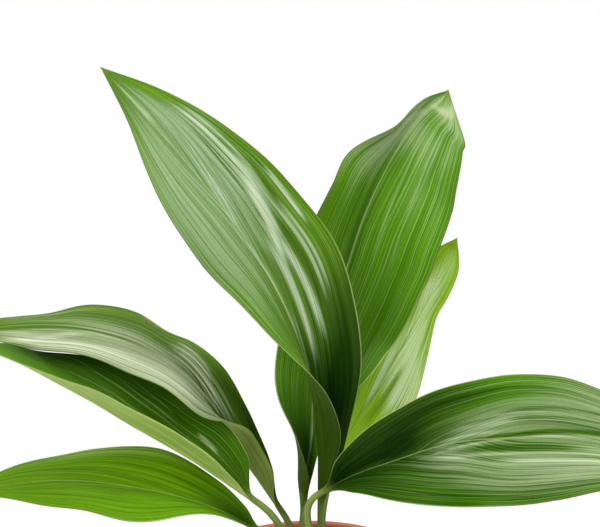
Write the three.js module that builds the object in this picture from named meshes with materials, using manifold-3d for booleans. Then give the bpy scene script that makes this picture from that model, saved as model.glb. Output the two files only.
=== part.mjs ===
import * as THREE from 'three';
import { mergeVertices } from 'three/addons/utils/BufferGeometryUtils.js';
import Module from 'manifold-3d';

// Potted cast iron plant, in millimetres, +Z up, seen from the -Y side.
// The origin is the centre of the pot's flat underside.

const POT = {
  height: 168,
  footRadius: 65,
  shoulderRadius: 87,
  rimRadius: 95,
  rimHeight: 30,
  lip: 3,
  wall: 7,
  floor: 9,
  sides: 36,
};
const DRAIN = { radius: 5, ring: 32, count: 4, sides: 12 };
const SOIL = {
  top: 150,
  dome: 3,
  rings: 5,
  lump: 1.6,
  lumpsAcross: 0.31,
  lumpsAlong: 0.27,
  lumpsAslant: 0.13,
};
const RHIZOME = {
  radius: 8,
  ridge: 0.7,
  ridgeStep: 4.5,
  sunk: 2.5,
  sides: 10,
  endShare: 0.03,
  endTaper: 0.3,
};
const CLEARANCE = 0.3;
const HOLE_CLEARANCE = 2 * CLEARANCE;

// Petioles stand straight in their holes up to straightTo, then bend to their blade.
const PETIOLE = {
  bottom: 128,
  straightTo: 158,
  footRadius: 3.5,
  topRadius: 2.7,
  bends: 5,
  pull: 0.4,
  holeSides: 16,
};

// A blade's section: where its columns stand between midrib (0) and margin (1) on each side.
const HALF_COLUMNS = [0.1, 0.25, 0.42, 0.6, 0.8, 1];
const COLUMNS = [...HALF_COLUMNS.map((w) => -w).reverse(), 0, ...HALF_COLUMNS];
const BLADE = {
  stations: 22,
  thickness: 0.9,
  pleat: 0.35,
  keel: 2.2,
  keelReach: 0.12,
  groove: 0.1,
  blendTo: 0.1,
  endsAt: 0.992,
  narrowest: 1.6,
  sectionSteps: 12,
};

// Half width along the blade, base to tip, as a share of the widest.
const PLAIN_OUTLINE = [0.07, 0.3, 0.62, 0.86, 0.98, 1, 0.93, 0.78, 0.55, 0.28, 0];

// Each leaf: the midrib's points from blade base to tip; the way its upper side faces
// (azimuth from -Y towards +X, and elevation, in degrees); then for each side of the midrib
// its widest half width, its outline, how steeply the section rises near the midrib and at
// the margin (degrees towards the upper side), and the margin's wave
// (degrees, number of waves, phase). Left is on the left when the leaf is seen from above,
// base towards the viewer.
const LEAVES = {
  leaf_tall_left: {
    foot: [5, -8],
    midrib: [
      [7, 0, 207], [7, 0, 242], [6, -2, 277], [0, -6, 321], [-13, -10, 369], [-34, -12, 417],
      [-63, -12, 463], [-96, -10, 504], [-129, -5, 543], [-165, 0, 581],
    ],
    facing: [[79, 0], [80, 0], [65, 2], [34, 8], [17, 13], [15, 17], [15, 20], [10, 20], [10, 20]],
    left: {
      half: 44,
      outline: [0.1, 0.22, 0.65, 0.8, 0.89, 0.88, 0.99, 0.94, 0.68, 0.31, 0],
      section: [[71, 72], [67, 68], [57, 56], [47, 53], [32, 15], [19, 0], [15, 2], [10, 7], [5, 4]],
      wave: [4, 5.45, 0.65],
    },
    right: {
      half: 57,
      outline: [0.11, 0.3, 0.53, 0.78, 0.93, 1.03, 0.96, 0.87, 0.7, 0.39, 0],
      section: [[60, 60], [60, 60], [54, 59], [31, 24], [17, 7], [11, 6], [10, -3], [5, 6]],
      wave: [3, 3.27, 0.13],
    },
    colour: 0x4f8a2f,
  },
  leaf_broad_right: {
    foot: [-2, 7],
    midrib: [
      [-8, 16, 199], [-5, 20, 234], [0, 24, 270], [1, 38, 303], [10, 58, 350], [28, 80, 398],
      [46, 104, 446], [71, 134, 492], [100, 170, 529], [126, 195, 546],
    ],
    facing: [[0, 0], [1, 1], [7, 7], [18, 11], [25, 16], [26, 20], [36, 20], [46, 25], [60, 30]],
    left: {
      half: 50,
      outline: [0.4, 0.6, 0.74, 0.83, 0.99, 1.04, 1.02, 0.91, 0.5, 0.23, 0],
      section: [
        [20, 174], [21, 168], [26, 90], [30, 17], [25, 20], [25, 17], [25, 17], [25, 27], [25, 5],
        [30, 47], [30, 28], [20, 20],
      ],
      wave: [0, 1, 0],
    },
    right: {
      half: 68,
      outline: [
        0.06, 0.06, 0.1, 0.15, 0.32, 0.55, 0.71, 0.8, 0.89, 0.95, 0.99, 1.04, 1.05, 1.06, 1.06, 1.04,
        0.96, 0.87, 0.77, 0.66, 0,
      ],
      section: [[50, 50], [50, 50], [45, 44], [27, 22], [24, 20], [20, 14], [20, 10], [20, 12], [10, 4]],
      wave: [0, 1, 0],
    },
    colour: 0x4c8a24,
  },
  leaf_young: {
    foot: [8, 22],
    midrib: [
      [19, 38, 237], [32, 60, 261], [55, 86, 290], [77, 112, 318], [97, 138, 345],
      [118, 160, 379], [135, 175, 412],
    ],
    facing: [[30, 0], [20, 10], [0, 20], [0, 25], [10, 30]],
    left: {
      half: 38,
      outline: [0.07, 0.3, 0.62, 0.86, 0.98, 1, 0.93, 0.82, 0.68, 0.5, 0],
      section: [[50, 50], [25, 10], [15, 5], [10, 0], [5, 5]],
      wave: [0, 1, 0],
    },
    right: {
      half: 43,
      outline: [0.15, 0.5, 0.75, 0.86, 0.8, 0.64, 0.48, 0.34, 0.36, 0.3, 0],
      section: [[30, 20], [15, 0], [5, -10], [0, -10], [0, 0]],
      wave: [0, 1, 0],
    },
    colour: 0x8fb84a,
  },
  leaf_arching_right: {
    foot: [10, -22],
    midrib: [
      [6, -20, 238], [32, -30, 257], [68, -44, 276], [107, -58, 294], [147, -72, 303],
      [187, -86, 308], [226, -100, 306], [265, -114, 293], [303, -126, 270],
    ],
    facing: [[0, 20], [0, 25], [0, 35], [0, 40], [0, 45], [0, 45]],
    left: {
      half: 54,
      outline: [0.07, 0.42, 0.65, 0.74, 0.84, 0.98, 0.95, 0.79, 0.69, 0.38, 0],
      section: [[60, 50], [40, 30], [15, 6], [10, -11], [10, -11], [5, 5]],
      wave: [8, 3, 0.25],
    },
    right: {
      half: 54,
      outline: PLAIN_OUTLINE,
      section: [[60, 40], [30, 20], [15, -10], [10, -15], [10, -10], [5, 5]],
      wave: [6, 3.5, 0.6],
    },
    colour: 0x3d7026,
  },
  leaf_arching_left: {
    foot: [-14, 3],
    midrib: [
      [-25, 22, 205], [-46, 22, 237], [-65, 19, 266], [-84, 12, 300], [-107, 2, 335],
      [-140, -8, 361], [-182, -18, 376], [-228, -24, 380], [-284, -26, 374],
    ],
    facing: [[60, 20], [60, 35], [50, 58], [20, 75], [0, 78], [0, 76], [0, 72], [0, 70]],
    left: {
      half: 42,
      outline: [0.07, 0.37, 0.5, 0.74, 1.2, 0.96, 0.9, 0.74, 0.6, 0.33, 0],
      section: [[62, 70], [96, 117], [30, 33], [2, -22], [-6, -22], [-13, -27], [-1, -3]],
      wave: [6, 4, 0.3],
    },
    right: {
      half: 44,
      outline: [0.07, 0.25, 0.46, 0.62, 0.76, 1, 1.11, 0.95, 1.01, 0.91, 0.76, 0.46, 0.36, 0.3, 0],
      section: [[61, 51], [46, 23], [22, 13], [15, 9], [5, 0], [0, -3], [0, 2]],
      wave: [12, 2.5, 0.58],
    },
    colour: 0x568236,
  },
  leaf_folded_left: {
    foot: [-20, -12],
    midrib: [
      [-46, -24, 233], [-70, -28, 252], [-94, -32, 271], [-119, -38, 289], [-144, -43, 306],
      [-171, -48, 325], [-199, -56, 344], [-226, -67, 363], [-257, -77, 380],
    ],
    facing: [[0, 70], [0, 80], [0, 85], [0, 85], [0, 80], [0, 70]],
    left: {
      half: 40,
      outline: [0.07, 0.29, 0.6, 0.72, 0.96, 0.96, 0.89, 0.99, 0.7, 0.31, 0],
      section: [[61, 62], [51, 45], [41, 34], [38, 30], [32, 16], [17, 38]],
      wave: [0, 1, 0],
    },
    right: {
      half: 44,
      outline: [0.2, 0.62, 0.9, 0.93, 1, 0.97, 0.91, 0.77, 0.57, 0.36, 0],
      section: [[60, 60], [51, 49], [46, 41], [42, 38], [26, 7], [3, 2]],
      wave: [4, 3, 0.2],
    },
    colour: 0x47801f,
  },
  leaf_low_left: {
    foot: [-22, -28],
    midrib: [
      [-39, -38, 211], [-68, -48, 232], [-101, -56, 248], [-140, -61, 259], [-182, -63, 265],
      [-225, -64, 264], [-272, -66, 256],
    ],
    facing: [[0, 50], [0, 65], [0, 72], [0, 72], [0, 68]],
    left: {
      half: 42,
      outline: PLAIN_OUTLINE,
      section: [[50, 50], [50, 30], [20, 0], [10, -5], [10, -5], [5, 5]],
      wave: [6, 3, 0.4],
    },
    right: {
      half: 42,
      outline: [0.07, 0.28, 0.6, 0.86, 1.01, 1.03, 0.97, 0.84, 0.7, 0.4, 0],
      section: [[50, 40], [22, 5], [12, 13], [10, -5], [2, -11], [5, 6]],
      wave: [0, 1, 0],
    },
    colour: 0x5a9426,
  },
};

// The rhizome is a main stem from front to back and a branch under the left-hand leaves.
const RHIZOME_PATHS = [
  [[14, -38], [10, -22], [5, -8], [-2, 7], [4, 20], [12, 34]],
  [[-26, -42], [-22, -28], [-19, -12], [-14, 3], [-3, 9]],
];

const wasm = await Module();
wasm.setup();

// Shared helpers.

function bareGeometry(geometry) {
  const bare = geometry.clone();
  bare.deleteAttribute('normal');
  bare.deleteAttribute('uv');
  return mergeVertices(bare, 1e-4);
}

function toSolid(geometry) {
  const merged = bareGeometry(geometry);
  const corners = merged.index.array;
  const kept = [];
  for (let i = 0; i < corners.length; i += 3) {
    const [a, b, c] = [corners[i], corners[i + 1], corners[i + 2]];
    if (a !== b && b !== c && c !== a) kept.push(a, b, c);
  }
  return new wasm.Manifold(new wasm.Mesh({
    numProp: 3,
    vertProperties: new Float32Array(merged.attributes.position.array),
    triVerts: new Uint32Array(kept),
  }));
}

function toGeometry(solid) {
  const mesh = solid.getMesh();
  const geometry = new THREE.BufferGeometry();
  geometry.setAttribute('position', new THREE.BufferAttribute(new Float32Array(mesh.vertProperties), 3));
  geometry.setIndex(Array.from(mesh.triVerts));
  return geometry;
}

function upright(geometry) {
  return geometry.rotateX(Math.PI / 2);
}

function turned(profile, sides) {
  return upright(new THREE.LatheGeometry(profile.map(([r, z]) => new THREE.Vector2(r, z)), sides));
}

// A smooth curve through rows of one to three values, used for anything that changes along a leaf.
function track(rows) {
  const points = rows.map((row) => {
    const [a, b = 0, c = 0] = Array.isArray(row) ? row : [row];
    return new THREE.Vector3(a, b, c);
  });
  return new THREE.CatmullRomCurve3(points, false, 'catmullrom', 0.5);
}

function facingVector([azimuth, elevation]) {
  const a = THREE.MathUtils.degToRad(azimuth);
  const e = THREE.MathUtils.degToRad(elevation);
  return [Math.sin(a) * Math.cos(e), -Math.cos(a) * Math.cos(e), Math.sin(e)];
}

function squareTo(vector, along) {
  return vector.clone().addScaledVector(along, -vector.dot(along)).normalize();
}

// Joins rings of equally many points into one closed skin. Each ring holds an upper row and
// the lower row below it, and both rows are split into triangles alike.
function skin(rings, columns) {
  const around = 2 * columns;
  const positions = rings.flat().flatMap((p) => [p.x, p.y, p.z]);
  const index = [];
  for (let i = 0; i < rings.length - 1; i++) {
    for (let k = 0; k < around; k++) {
      const next = (k + 1) % around;
      const [a0, a1] = [i * around + k, i * around + next];
      const [b0, b1] = [a0 + around, a1 + around];
      if (k < columns - 1) index.push(a0, a1, b1, a0, b1, b0);
      else index.push(a0, a1, b0, a1, b1, b0);
    }
  }
  const last = (rings.length - 1) * around;
  for (let k = 0; k < columns - 1; k++) {
    const [upper, lower] = [k, around - 1 - k];
    index.push(upper, lower, lower - 1, upper, lower - 1, upper + 1);
    index.push(last + upper, last + lower - 1, last + lower);
    index.push(last + upper, last + upper + 1, last + lower - 1);
  }
  const geometry = new THREE.BufferGeometry();
  geometry.setAttribute('position', new THREE.Float32BufferAttribute(positions, 3));
  geometry.setIndex(index);
  return geometry;
}

function roundRing(centre, right, up, radius, columns) {
  const place = (angle) => centre.clone()
    .addScaledVector(right, radius * Math.cos(angle))
    .addScaledVector(up, radius * Math.sin(angle));
  const angles = Array.from({ length: columns }, (_, j) => Math.PI * (1 - (j + 0.5) / columns));
  return [...angles.map(place), ...angles.reverse().map((angle) => place(-angle))];
}

// Leaves.

// How far a margin point lies across and above the midrib, for a half width of 1.
function sectionReach(share, inner, outer) {
  let across = 0;
  let lift = 0;
  for (let s = 0; s < BLADE.sectionSteps; s++) {
    const k = ((s + 0.5) / BLADE.sectionSteps) * share;
    const angle = (inner + (outer - inner) * k) * Math.min(1, k / BLADE.groove);
    across += Math.cos(angle) * share / BLADE.sectionSteps;
    lift += Math.sin(angle) * share / BLADE.sectionSteps;
  }
  return [across, lift];
}

function bladeSurface(leaf, spine, stations) {
  const faces = track(leaf.facing.map(facingVector));
  const sides = [leaf.left, leaf.right].map((side) => ({
    ...side,
    outlineTrack: track(side.outline),
    sectionTrack: track(side.section),
  }));
  return stations.map((u) => {
    const along = spine.getTangentAt(u);
    const up = squareTo(faces.getPoint(u), along);
    const right = along.clone().cross(up);
    const centre = spine.getPointAt(u);
    const row = COLUMNS.map((v) => {
      const side = sides[v < 0 ? 0 : 1];
      const half = Math.max(side.half * side.outlineTrack.getPoint(u).x, BLADE.narrowest);
      const { x: inner, y: outer } = side.sectionTrack.getPoint(u);
      const [degrees, count, phase] = side.wave;
      const wave = degrees * Math.sin(2 * Math.PI * (count * u + phase)) * Math.sin(Math.PI * u);
      const [across, lift] = sectionReach(
        Math.abs(v), THREE.MathUtils.degToRad(inner), THREE.MathUtils.degToRad(outer + wave));
      return centre.clone()
        .addScaledVector(right, Math.sign(v) * across * half)
        .addScaledVector(up, lift * half);
    });
    return { centre, right, up, row };
  });
}

function surfaceNormal(surface, i, j) {
  const before = surface[Math.max(i - 1, 0)].row[j];
  const after = surface[Math.min(i + 1, surface.length - 1)].row[j];
  const { row } = surface[i];
  const across = row[Math.min(j + 1, row.length - 1)].clone().sub(row[Math.max(j - 1, 0)]);
  return across.cross(after.clone().sub(before)).normalize();
}

function leafGeometry(leaf) {
  const spine = track(leaf.midrib);
  const step = BLADE.endsAt / (BLADE.stations - 1);
  const stations = Array.from({ length: BLADE.stations }, (_, i) => i * step);
  const surface = bladeSurface(leaf, spine, stations);
  const middle = (COLUMNS.length - 1) / 2;

  const bladeRings = surface.map((station, i) => {
    const u = stations[i];
    const upper = [];
    const lower = [];
    station.row.forEach((point, j) => {
      const normal = surfaceNormal(surface, i, j);
      const inside = j > 0 && j < COLUMNS.length - 1 && j !== middle;
      const pleat = inside ? BLADE.pleat * (j % 2 ? 1 : -1) * Math.sin(Math.PI * u) : 0;
      const keel = BLADE.keel * (1 - u) * Math.max(0, 1 - Math.abs(COLUMNS[j]) / BLADE.keelReach);
      upper.push(point.clone().addScaledVector(normal, BLADE.thickness / 2 + pleat));
      lower.unshift(point.clone().addScaledVector(normal, -BLADE.thickness / 2 + pleat - keel));
    });
    const round = roundRing(station.centre, station.right, station.up, PETIOLE.topRadius, COLUMNS.length);
    const share = THREE.MathUtils.smoothstep(u, 0, BLADE.blendTo);
    return [...upper, ...lower].map((point, k) => round[k].lerp(point, share));
  });

  const [x, y] = leaf.foot;
  const top = spine.getPointAt(0);
  const heading = spine.getTangentAt(0);
  const bendFrom = new THREE.Vector3(x, y, PETIOLE.straightTo);
  const reach = PETIOLE.pull * bendFrom.distanceTo(top);
  const bend = new THREE.CubicBezierCurve3(
    bendFrom,
    bendFrom.clone().add(new THREE.Vector3(0, 0, reach)),
    top.clone().addScaledVector(heading, -reach),
    top,
  );
  const petioleRings = [];
  let up = surface[0].up;
  for (let step = PETIOLE.bends - 1; step >= 0; step--) {
    const share = step / PETIOLE.bends;
    const along = bend.getTangentAt(share);
    up = squareTo(up, along);
    const radius = THREE.MathUtils.lerp(PETIOLE.footRadius, PETIOLE.topRadius, share);
    const right = along.clone().cross(up);
    petioleRings.unshift(roundRing(bend.getPointAt(share), right, up, radius, COLUMNS.length));
  }
  const bottom = new THREE.Vector3(x, y, PETIOLE.bottom);
  const vertical = new THREE.Vector3(0, 0, 1);
  const firstRight = vertical.clone().cross(up);
  petioleRings.unshift(roundRing(bottom, firstRight, up, PETIOLE.footRadius, COLUMNS.length));
  return skin([...petioleRings, ...bladeRings], COLUMNS.length);
}

// The clearance hole that a petiole stands in.
function petioleHole([x, y]) {
  const from = PETIOLE.bottom - CLEARANCE;
  const depth = PETIOLE.straightTo - from;
  const radius = PETIOLE.footRadius + HOLE_CLEARANCE;
  const hole = upright(new THREE.CylinderGeometry(radius, radius, depth, PETIOLE.holeSides));
  return toSolid(hole.translate(x, y, from + depth / 2));
}

// Rhizome.

// One ringed branch of the rootstock, grown by extra all round for its trench in the soil.
function rhizomeBranch(path, extra) {
  const height = SOIL.top - RHIZOME.sunk;
  const curve = track(path.map(([x, y]) => [x, y, height]));
  const rings = [];
  const steps = Math.round(curve.getLength() / RHIZOME.ridgeStep);
  const up = new THREE.Vector3(0, 0, 1);
  for (let i = 0; i <= steps; i++) {
    const u = i / steps;
    const inset = THREE.MathUtils.clamp(u, RHIZOME.endShare, 1 - RHIZOME.endShare);
    const rounded = Math.sin(Math.PI * inset) ** RHIZOME.endTaper;
    const ridge = (i % 2 ? 1 : -1) * RHIZOME.ridge;
    const radius = (RHIZOME.radius + ridge) * rounded + extra;
    const along = curve.getTangentAt(u);
    const beyond = extra * ((i === steps) - (i === 0));
    const centre = curve.getPointAt(u).addScaledVector(along, beyond);
    rings.push(roundRing(centre, along.clone().cross(up), up, radius, RHIZOME.sides / 2));
  }
  return toSolid(skin(rings, RHIZOME.sides / 2));
}

function rhizomeSolid(extra) {
  return RHIZOME_PATHS.map((path) => rhizomeBranch(path, extra)).reduce((a, b) => a.add(b));
}

// Pot and soil.

function potProfile() {
  const { height, footRadius, shoulderRadius, rimRadius, rimHeight, lip, wall, floor } = POT;
  const rimFrom = height - rimHeight;
  return [
    [0, 0],
    [footRadius, 0],
    [footRadius + lip / 2, lip],
    [shoulderRadius, rimFrom],
    [rimRadius - lip, rimFrom + lip],
    [rimRadius, height - lip],
    [rimRadius - lip / 2, height],
    [rimRadius - wall + lip / 2, height],
    [rimRadius - wall, height - lip],
    [shoulderRadius - wall, rimFrom],
    [footRadius - wall + lip, floor + lip],
    [footRadius - wall, floor],
    [0, floor],
  ];
}

function potGeometry() {
  const { radius, ring, count, sides } = DRAIN;
  const throughFloor = 3 * POT.floor;
  let solid = toSolid(turned(potProfile(), POT.sides));
  for (let i = 0; i < count; i++) {
    const angle = ((i + 0.5) / count) * 2 * Math.PI;
    const drill = upright(new THREE.CylinderGeometry(radius, radius, throughFloor, sides));
    drill.translate(ring * Math.cos(angle), ring * Math.sin(angle), 0);
    solid = solid.subtract(toSolid(drill));
  }
  return toGeometry(solid);
}

// The pot's inner radius at a height above its floor.
function innerRadiusAt(z) {
  const { height, footRadius, shoulderRadius, rimRadius, rimHeight, lip, wall, floor } = POT;
  const rimFrom = height - rimHeight;
  const inRim = z > rimFrom;
  const [z0, r0] = inRim ? [rimFrom, shoulderRadius] : [floor + lip, footRadius + lip];
  const [z1, r1] = inRim ? [height - lip, rimRadius] : [rimFrom, shoulderRadius];
  return r0 + ((r1 - r0) * (z - z0)) / (z1 - z0) - wall;
}

// Unevenness of the soil's surface, from -2 to 2.
function lumpsAt(x, y) {
  const crossed = Math.sin(SOIL.lumpsAcross * x + 1) * Math.cos(SOIL.lumpsAlong * y);
  return crossed + Math.sin(SOIL.lumpsAslant * (x + 2 * y));
}

function soilGeometry(holes, trench) {
  const shoulder = POT.height - POT.rimHeight;
  const edge = innerRadiusAt(SOIL.top - SOIL.dome) - CLEARANCE;
  const top = Array.from({ length: SOIL.rings }, (_, i) => [edge * (1 - i / SOIL.rings), SOIL.top]);
  const profile = [
    [0, POT.floor + CLEARANCE],
    [POT.footRadius - POT.wall - CLEARANCE, POT.floor + CLEARANCE],
    [innerRadiusAt(POT.floor + POT.lip) - CLEARANCE, POT.floor + POT.lip],
    [innerRadiusAt(shoulder) - CLEARANCE, shoulder],
    ...top,
    [0, SOIL.top],
  ];
  const geometry = bareGeometry(turned(profile, POT.sides));
  const points = geometry.attributes.position;
  for (let i = 0; i < points.count; i++) {
    const [x, y, z] = [points.getX(i), points.getY(i), points.getZ(i)];
    if (z < SOIL.top - CLEARANCE) continue;
    const fromEdge = 1 - Math.hypot(x, y) / edge;
    const dome = SOIL.dome * (Math.min(1, 2 * fromEdge) - 1);
    points.setZ(i, z + dome + SOIL.lump * lumpsAt(x, y) * Math.min(1, 4 * fromEdge));
  }
  const bed = toSolid(geometry).subtract(trench);
  return toGeometry(holes.reduce((solid, hole) => solid.subtract(hole), bed));
}

// Assembly.

const MATERIALS = {
  pot: new THREE.MeshStandardMaterial({ color: 0xb5693f, roughness: 0.85, metalness: 0 }),
  soil: new THREE.MeshStandardMaterial({ color: 0x3a2a1e, roughness: 0.95, metalness: 0 }),
  rhizome: new THREE.MeshStandardMaterial({ color: 0x8a7348, roughness: 0.8, metalness: 0 }),
};

const plant = new THREE.Group();

function addPiece(name, geometry, material) {
  const mesh = new THREE.Mesh(geometry, material);
  mesh.name = name;
  plant.add(mesh);
}

const holes = Object.values(LEAVES).map((leaf) => petioleHole(leaf.foot));
const rootstock = holes.reduce((solid, hole) => solid.subtract(hole), rhizomeSolid(0));

addPiece('pot', potGeometry(), MATERIALS.pot);
addPiece('soil', soilGeometry(holes, rhizomeSolid(HOLE_CLEARANCE)), MATERIALS.soil);
addPiece('rhizome', toGeometry(rootstock), MATERIALS.rhizome);
for (const [name, leaf] of Object.entries(LEAVES)) {
  const material = new THREE.MeshStandardMaterial({ color: leaf.colour, roughness: 0.4, metalness: 0 });
  addPiece(name, leafGeometry(leaf), material);
}

export default plant;
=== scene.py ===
import math
import random
from types import SimpleNamespace as Values

import bmesh
import bpy
import numpy as np
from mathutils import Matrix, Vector, noise


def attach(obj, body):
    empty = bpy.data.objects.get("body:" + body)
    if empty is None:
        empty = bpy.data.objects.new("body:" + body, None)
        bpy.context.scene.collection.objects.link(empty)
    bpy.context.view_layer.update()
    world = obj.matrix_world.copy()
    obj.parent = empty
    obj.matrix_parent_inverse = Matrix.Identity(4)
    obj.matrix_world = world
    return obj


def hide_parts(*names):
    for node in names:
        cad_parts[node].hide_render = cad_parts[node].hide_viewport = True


# A potted cast iron plant, dressed over its solids. Sizes and places are written in
# millimetres, as in the solids, and MM turns them into metres.
MM = 0.001

# How finely a leaf is built: stations along its blade and its stalk, and points across both.
BLADE_STATIONS = 130
STALK_STATIONS = 30
POINTS_ACROSS = 121

# Places along a blade are shares of its length, and places across it shares of its half width.
BLADE = Values(
    thickness=0.6,
    keel=2.2,  # how far the midrib stands out below, at the blade's base
    keel_reach=0.12,
    groove=0.1,  # how far across the section's bend takes to set in
    blend_to=0.1,  # where along the blade the stalk's round section has given way
    narrowest=0.3,
    section_steps=24,
    steady_to=0.975,  # the tip beyond this faces as the blade does here
)
STALK = Values(bottom=128, straight_to=158, foot_radius=3.5, top_radius=2.7, pull=0.4)

# Soft folds along the blade: how many of each kind and how strong, how far they drift across,
# and the powers by which they fade towards the ends and the margins.
PLEATS = Values(folds=((4.5, 0.6), (8, 0.5), (13, 0.3)), drift=0.8, end_power=0.6, side_power=6)

# A streak, or a line of painted shade along a crease, fades in over this stretch, as shares of its
# length, and out in the same way at its other end. The power sets how crisp its sides are.
STROKE = Values(fade_from=-0.25, full_from=0.2, side_power=4)

# Where the stalk's colour gives way to the blade's, along the blade.
STALK_COLOUR_ENDS = (-0.02, 0.06)

# The leaf's patterns: how often each noise repeats across and along the veins, its detail and
# its roughness; and how many veins its pattern holds, and their half width for their spacing.
LEAF_GRAINS = {
    "hair": (90, 2.2, 2, 0.6), "fine": (30, 1.7, 3, 0.6), "broad": (7, 1.1, 2, 0.5),
    "cloud": (1.6, 3, 4, 0.6), "cells": (150, 160, 2, 0.6),
}
VEINS = {"major": {"count": 7, "width": 0.055}, "minor": {"count": 22, "width": 0.12}}

# The patterns of the two sides, and of different leaves, lie this far apart in the noise, and
# one side's gives way to the other's over the midrib's span.
SIDES_APART = 5.3
LEAVES_APART = 10
MIDRIB_SPAN = (0.497, 0.503)
LEAF_RELIEF = 0.45
LEAF_SHADER = {
    "Specular IOR Level": 0.06, "Specular Tint": (0.85, 1, 0.45, 1), "Subsurface Weight": 0.15,
    "Subsurface Radius": (0.5, 1, 0.2), "Subsurface Scale": 0.0015,
}

# The wave of a side whose margin lies still.
STILL = (0, 1, 0)

# Half width along the blade, base to tip, as a share of the widest.
PLAIN_OUTLINE = [0.07, 0.3, 0.62, 0.86, 0.98, 1, 0.93, 0.78, 0.55, 0.28, 0]

# Each leaf's form, with the same values as its solid: its stalk's foot; the midrib from blade
# base to tip; the way its upper side faces (azimuth from -Y towards +X, and elevation, in
# degrees); and for each side its half width, outline, section (degrees near the midrib and at
# the margin) and wave (degrees, number of waves, phase). Then its looks:
# pleat, how far its soft folds stand out;
# green, pale and sheen, the tones of the blade, of its painted sheen and its pale veins, and of
# its streaks;
# under and under_far, the tones of its underside near the base and beyond; where it is darker
# near the base, that is painted shade;
# courses, the width of the vein pattern along the blade, which is measured from the margin;
# bands, ribs and lines, how strong its light bands, dark ribs and thin pale veins are;
# the patches of painted sheen, of vivid brighter green and of painted shade, each a strength,
# where it lies and how far it reaches along the blade, the same across it, and any drift across
# on the way to the tip;
# streaks, its pale strokes, mostly painted highlights with a few pale veins, and its dark strokes
# of painted shade along the creases, each a strength, its start (along, across), its end (along,
# across) and its half width.
LEAVES = {}
LEAVES["leaf_tall_left"] = Values(
    foot=(5, -8),
    midrib=[
        (7, 0, 207), (7, 0, 242), (6, -2, 277), (0, -6, 321), (-13, -10, 369), (-34, -12, 417),
        (-63, -12, 463), (-96, -10, 504), (-129, -5, 543), (-165, 0, 581),
    ],
    facing=[(79, 0), (80, 0), (65, 2), (34, 8), (17, 13), (15, 17), (15, 20), (10, 20), (10, 20)],
    left=Values(
        half=44, wave=(4, 5.45, 0.65),
        outline=[0.1, 0.22, 0.65, 0.8, 0.89, 0.88, 0.99, 0.94, 0.68, 0.31, 0],
        section=[(71, 72), (67, 68), (57, 56), (47, 53), (32, 15), (19, 0), (15, 2), (10, 7), (5, 4)],
    ),
    right=Values(
        half=57, wave=(3, 3.27, 0.13),
        outline=[0.11, 0.3, 0.53, 0.78, 0.93, 1.03, 0.96, 0.87, 0.7, 0.39, 0],
        section=[(60, 60), (60, 60), (54, 59), (31, 24), (17, 7), (11, 6), (10, -3), (5, 6)],
    ),
    pleat=0.35, bands=0.7, ribs=0.9, lines=0.45, under=(46, 68, 6), under_far=(112, 146, 74),
    green=(84, 130, 22), pale=(152, 178, 130), sheen=(210, 222, 192),
    courses=[1.15, 1.1, 1.05, 1, 0.94, 0.88, 0.82, 0.76, 0.68, 0.58, 0.45],
    bloom=[
        (0.76, 0.64, 0.24, -0.5, 0.65), (0.3, 0.84, 0.1, -0.3, 0.6), (0.4, 0.56, 0.08, 0.34, 0.2),
        (0.4, 0.69, 0.04, 0.76, 0.15), (0.65, 0.88, 0.08, 0.35, 0.25), (0.8, 0.68, 0.1, 0.5, 0.22),
        (0.5, 0.74, 0.1, 0.35, 0.4), (0.9, 0.82, 0.05, 0.72, 0.2), (0.35, 0.67, 0.05, 0.14, 0.12),
    ],
    vivid=[
        (0.8, 0.77, 0.09, -0.9, 0.15), (0.9, 0.91, 0.05, 0.75, 0.22), (0.5, 0.33, 0.08, -0.4, 0.5),
        (0.5, 0.53, 0.1, 0.75, 0.25),
    ],
    shade=[
        (1, 0.1, 0.16, 0.5, 0.8), (0.9, 0.29, 0.12, 0.62, 0.45), (0.5, 0.41, 0.08, 0.85, 0.25),
        (0.15, 0.94, 0.05, -0.6, 0.4),
    ],
    streaks=[
        (0.9, 0.35, 0.2, 0.54, 0.23, 0.045), (0.9, 0.53, 0.3, 0.66, 0.49, 0.045),
        (0.9, 0.39, 0.42, 0.55, 0.38, 0.05), (0.8, 0.57, 0.42, 0.68, 0.56, 0.05),
        (0.8, 0.39, 0.01, 0.6, -0.03, 0.014), (0.7, 0.62, 0, 0.8, 0.28, 0.014),
        (0.6, 0.6, -0.08, 0.76, 0.14, 0.012), (0.75, 0.45, 0.61, 0.6, 0.63, 0.022),
        (0.9, 0.57, 0.83, 0.66, 0.87, 0.03), (0.6, 0.46, 0.69, 0.6, 0.7, 0.024),
        (0.7, 0.7, 0.62, 0.84, 0.72, 0.03), (0.6, 0.72, 0.76, 0.84, 0.84, 0.016),
        (0.55, 0.87, 0, 0.95, 0.02, 0.09), (0.35, 0.3, 0.04, 0.42, 0.06, 0.012),
        (0.6, 0.21, -0.04, 0.28, 0.02, 0.05),
    ],
    grooves=[
        (1, 0.36, 0.31, 0.62, 0.36, 0.012), (0.9, 0.42, 0.53, 0.6, 0.51, 0.05),
        (0.6, 0.6, 0.66, 0.7, 0.8, 0.04), (0.5, 0.38, 0.1, 0.56, 0.1, 0.06),
        (0.7, 0.45, 0.58, 0.62, 0.58, 0.012), (0.7, 0.5, 0.66, 0.72, 0.78, 0.014),
        (0.6, 0.55, 0.78, 0.74, 0.92, 0.02), (0.3, 0.62, 0.14, 0.76, 0.34, 0.03),
        (0.6, 0.4, 0.34, 0.56, 0.445, 0.01), (0.6, 0.66, 0.4, 0.8, 0.52, 0.016),
        (0.7, 0.7, 0.58, 0.86, 0.66, 0.01), (0.7, 0.72, 0.7, 0.86, 0.78, 0.01),
        (0.6, 0.7, 0.5, 0.84, 0.58, 0.01), (0.6, 0.66, 0.88, 0.84, 0.9, 0.014),
    ],
)
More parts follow.
